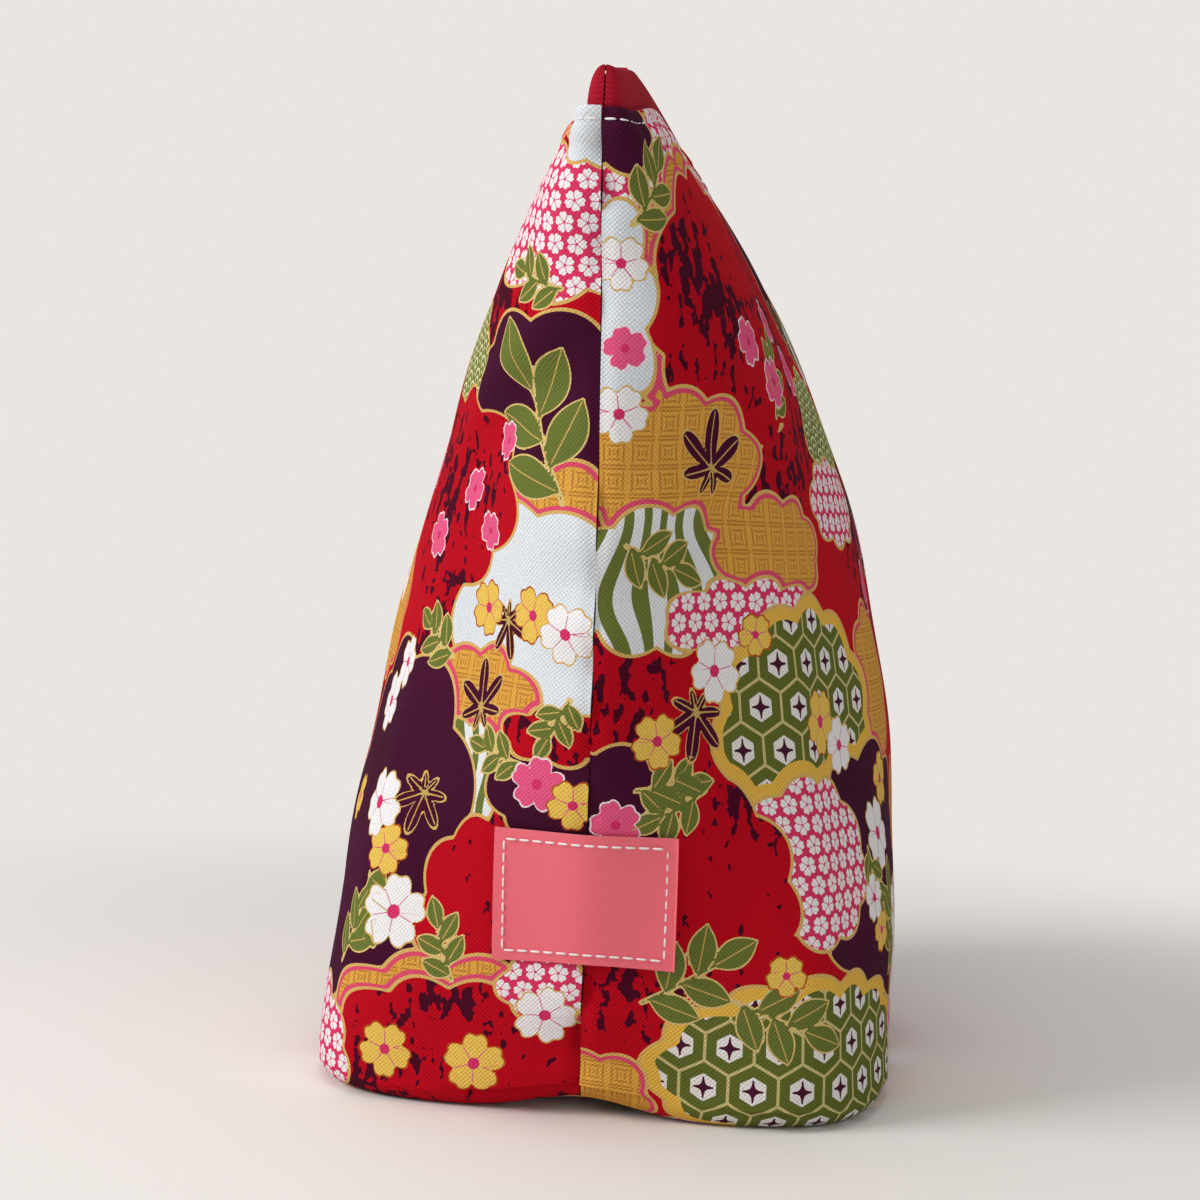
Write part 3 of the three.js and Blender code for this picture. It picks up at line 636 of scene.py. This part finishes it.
# Zip chain, stops, slider and pull: moulded red teeth and stops on the tapes' edges, and a cast slider
# and pull enamelled in the same red. The solids have the shape; they take glossy finishes here.
moulded = Nodes("moulded_red")
grain = moulded.noise(moulded.object_place(), 900)
moulded.put(moulded.shader.inputs["Base Color"], moulded.lay(tint("B0122A"), tint("C01C34"), grain))
moulded.put(moulded.shader.inputs["Roughness"], moulded.do("MULTIPLY_ADD", grain, 0.2, 0.32))
enamel = Nodes("enamelled_red")
flow = enamel.noise(enamel.object_place(), 400)
enamel.put(enamel.shader.inputs["Base Color"], enamel.lay(tint("A50F24"), tint("B4162E"), flow))
enamel.put(enamel.shader.inputs["Roughness"], enamel.do("MULTIPLY_ADD", flow, 0.15, 0.22))
enamel.shader.inputs["Coat Weight"].default_value = 0.4
dress(moulded.material, "zip_teeth_front", "zip_teeth_back",
      "zip_top_stop_front", "zip_top_stop_back", "zip_bottom_stop")
dress(enamel.material, "zip_slider", "zip_pull")

# Label: a plain rectangle of pink satin, laid across the end seam and bent round it with the cloth below.
# It is sewn down all round with white thread.
label_width, label_height, label_middle = 0.040, 0.031, 0.052
label_thick, label_lift, label_ease, seam_pad, pad_spread = 0.0006, 0.00045, 0.0045, 0.0009, 0.010


def label_points(along, height, off):
    """Points over the end seam at signed cloth distances from it and at given heights, lifted off the
    cloth and eased over the seam by a running mean."""
    both = []
    for side in (-1, 1):
        walls = panel_walls(side, np.abs(along) / panel_width, height / panel_rise, -off, 0.0, 0.15)
        walls[:, np.abs(along) < 1e-9, 1] -= side * seam_gap / 2
        both.append(walls)
    points = np.where((along < 0)[None, :, None], both[0], both[1])
    spread = bell(along[:, None] - along[None], label_ease)
    eased = points[..., 0] @ (spread / spread.sum(1, keepdims=True)).T if len(along) > 3 else points[..., 0]
    points[..., 0] = np.maximum(eased + seam_pad * bell(along, pad_spread)[None], points[..., 0])
    return points


label_along = np.concatenate([-np.linspace(label_width / 2, 0, 46)[:-1], np.linspace(0, label_width / 2, 46)])
label_rows = label_middle + np.linspace(-0.5, 0.5, 61) * label_height
outer = label_points(label_along, label_rows, label_lift + label_thick)
inner = label_points(label_along, label_rows, label_lift)[::3, ::3]
uv = np.stack(np.broadcast_arrays(label_along[None] + 0.05, label_rows[:, None]), -1)
label = cloth_sheet("satin_label", outer, inner, uv, False)
satin = Nodes("pink_satin")
satin_u, satin_v, _ = satin.cloth_place()
weave(satin, satin_u, satin_v, 0.5, 0.00003, satin.lay(tint("EA5C6C"), tint("EE6C7A"), 0.4), 0.12)
satin.shader.inputs["Roughness"].default_value = 0.5
satin.shader.inputs["Sheen Weight"].default_value = 0.2
label.data.materials.append(satin.material)
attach(label, "bag")
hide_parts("label")

# White sewing thread: the label's stitches and the topstitching beside the zip, each stitch a short
# rounded length of thread that dips into the cloth at both ends.
def stitches(name, path, out, pitch, length, radius):
    """Capsules along a path: each stitch follows it for its length, arched outward by a fourth power of its
    share, with round ends."""
    marks = np.concatenate([[0], np.cumsum(np.linalg.norm(np.diff(path, axis=0), axis=1))])
    count = int(marks[-1] / pitch)
    rings, sides = 9, 8
    t = np.linspace(-0.5, 0.5, rings)
    at = (np.arange(count)[:, None] + 0.5) * pitch + t[None] * length
    read = lambda rows: np.stack([np.interp(at, marks, rows[:, i]) for i in range(3)], -1)
    line, up = read(path), read(out)
    up /= np.linalg.norm(up, axis=-1, keepdims=True)
    line = line + up * (radius * (1.0 - 17.6 * t ** 4))[None, :, None]
    run = np.gradient(line, axis=1)
    run /= np.linalg.norm(run, axis=-1, keepdims=True)
    sideways = np.cross(run, up)
    thick = radius * np.sqrt(np.clip(1 - (2 * t) ** 6, 0.02, 1))
    turn = np.linspace(0, 2 * np.pi, sides + 1)[:-1, None]
    spokes = np.cos(turn) * sideways[:, :, None] + np.sin(turn) * np.cross(sideways, run)[:, :, None]
    ring = line[:, :, None] + thick[None, :, None, None] * spokes
    block = np.arange(rings * sides).reshape(rings, sides)
    after = np.roll(block, -1, 1)
    quads = np.stack([block[:-1], after[:-1], after[1:], block[1:]], -1).reshape(-1, 4)
    caps = np.stack([block[0, ::-1], block[-1]])
    first = (np.arange(count) * block.size)[:, None, None]
    faces = [(first + quads[None]).reshape(-1, 4), (first + caps[None]).reshape(-1, sides)]
    return mesh_piece(name, ring, faces, None, 1.2)


thread = Nodes("white_thread")
ply = thread.noise(thread.object_place(), 2500)
thread.put(thread.shader.inputs["Base Color"], thread.lay(tint("F4F0EE"), tint("DAD2D0"), ply))
thread.shader.inputs["Roughness"].default_value = 0.7
stitch_inset, thread_radius, read_out = 0.0024, 0.00026, 0.002
wide, tall = label_width / 2 - stitch_inset, label_height / 2 - stitch_inset
beside = np.array([-0.0005, 0, 0.0005])
row, column = np.linspace(-wide, wide, 61), label_middle + np.linspace(-tall, tall, 61)
sides = {
    "top": lambda off: label_points(row, np.array([label_middle + tall]), off)[0],
    "bottom": lambda off: label_points(row, np.array([label_middle - tall]), off)[0],
    "left": lambda off: label_points(beside - wide, column, off)[:, 1],
    "right": lambda off: label_points(beside + wide, column, off)[:, 1],
}
for name, surface in sides.items():
    path = surface(label_lift + label_thick)
    sewn = stitches(f"label_stitches_{name}", path, surface(read_out) - path, 0.0030, 0.0024, thread_radius)
    sewn.data.materials.append(thread.material)
    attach(sewn, "bag")
fine, line_level = crowded(901), np.array([1 - 0.0026 / panel_rise])
for name, side in (("front", -1), ("back", 1)):
    path = panel_walls(side, fine, line_level, 0.0)[0]
    outward = panel_walls(side, fine, line_level, -read_out)[0] - path
    sewn = stitches(f"topstitching_{name}", path, outward, 0.0032, 0.0025, thread_radius)
    sewn.data.materials.append(thread.material)
    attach(sewn, "bag")

# Studio: a wide pale floor that fades into an even pale surround, one soft key from the left of the
# picture, a weaker fill from the right and a soft top light.
pale, floor_half, fade_start, fade_end = tint("EAE5E0"), 30.0, 0.17, 0.42
floor_points = floor_half * np.array([[-1, -1, 0], [1, -1, 0], [1, 1, 0], [-1, 1, 0]])
floor = mesh_piece("studio_floor", floor_points, [np.array([[0, 1, 2, 3]])])
ground = Nodes("pale_floor")
far = ground.add("ShaderNodeVectorMath", ground.object_place(), operation="LENGTH").outputs["Value"]
fade = ground.add("ShaderNodeMapRange", far, fade_start, fade_end, interpolation_type="SMOOTHSTEP").outputs[0]
glow = ground.add("ShaderNodeEmission", pale, 1.0)
seen = ground.add("ShaderNodeLightPath")
camera_or_gloss = ground.do("MAXIMUM", seen.outputs["Is Camera Ray"], seen.outputs["Is Glossy Ray"])
share = ground.do("MULTIPLY", fade, camera_or_gloss)
both = ground.add("ShaderNodeMixShader", share, ground.shader.outputs[0], glow.outputs[0])
ground.tree.links.new(both.outputs[0], ground.tree.nodes["Material Output"].inputs[0])
ground.shader.inputs["Base Color"].default_value = tint("EBE7E3")
ground.shader.inputs["Roughness"].default_value = 0.9
floor.data.materials.append(ground.material)

world = bpy.data.worlds.new("studio")
bpy.context.scene.world = world
world.use_nodes = True
sky = world.node_tree
backdrop, path = sky.nodes["Background"], sky.nodes.new("ShaderNodeLightPath")
even, mixer = sky.nodes.new("ShaderNodeBackground"), sky.nodes.new("ShaderNodeMixShader")
backdrop.inputs["Color"].default_value, backdrop.inputs["Strength"].default_value = (1, 1, 1, 1), 0.35
even.inputs["Color"].default_value, even.inputs["Strength"].default_value = pale, 1.0
sky.links.new(path.outputs["Is Camera Ray"], mixer.inputs[0])
sky.links.new(backdrop.outputs[0], mixer.inputs[1])
sky.links.new(even.outputs[0], mixer.inputs[2])
sky.links.new(mixer.outputs[0], sky.nodes["World Output"].inputs[0])


def facing(place, aim, roll=0.0):
    """The frame of a lamp or camera at a place that looks at a point, rolled about its line of sight."""
    back = np.subtract(place, aim)
    back = back / np.linalg.norm(back)
    right = np.cross([0, 0, 1], back)
    right /= np.linalg.norm(right)
    up = np.cross(back, right)
    rolled = right * np.cos(roll) + up * np.sin(roll), up * np.cos(roll) - right * np.sin(roll)
    return Matrix(np.vstack([np.column_stack([*rolled, back, place]), [0, 0, 0, 1]]).tolist())


def lamp(name, place, size, power):
    """A square area light at a place, aimed at the bag."""
    light = bpy.data.lights.new(name, "AREA")
    light.size, light.energy = size, power
    source = bpy.data.objects.new(name, light)
    source.matrix_world = facing(place, (0, 0, 0.1))
    bpy.context.scene.collection.objects.link(source)


lamp("key_left", (0.75, -1.05, 0.75), 0.6, 14)
lamp("fill_right", (1.1, 0.9, 0.6), 0.9, 3.2)
lamp("top", (0.1, -0.2, 1.5), 1.0, 6)

# Camera: at the photograph's place, a little above half height and to the right of the labelled end.
view_azimuth, view_roll = np.radians(95.64), np.radians(2.98)
view_distance, view_height, view_aim = 0.6185, 0.1408, (0, -0.0111, 0.1138)
focal_pixels, frame_pixels, sensor_width = 2389, 1200, 36
eye = np.array([np.sin(view_azimuth) * view_distance, -np.cos(view_azimuth) * view_distance, view_height])
lens = bpy.data.cameras.new("photo_view")
lens.sensor_fit, lens.sensor_width = "HORIZONTAL", sensor_width
lens.lens = focal_pixels / frame_pixels * sensor_width
lens.clip_start, lens.clip_end = 0.01, 200
viewer = bpy.data.objects.new("photo_view", lens)
viewer.matrix_world = facing(eye, view_aim, view_roll)
bpy.context.scene.collection.objects.link(viewer)
bpy.context.scene.camera = viewer
bpy.context.scene.view_settings.view_transform = "Standard"
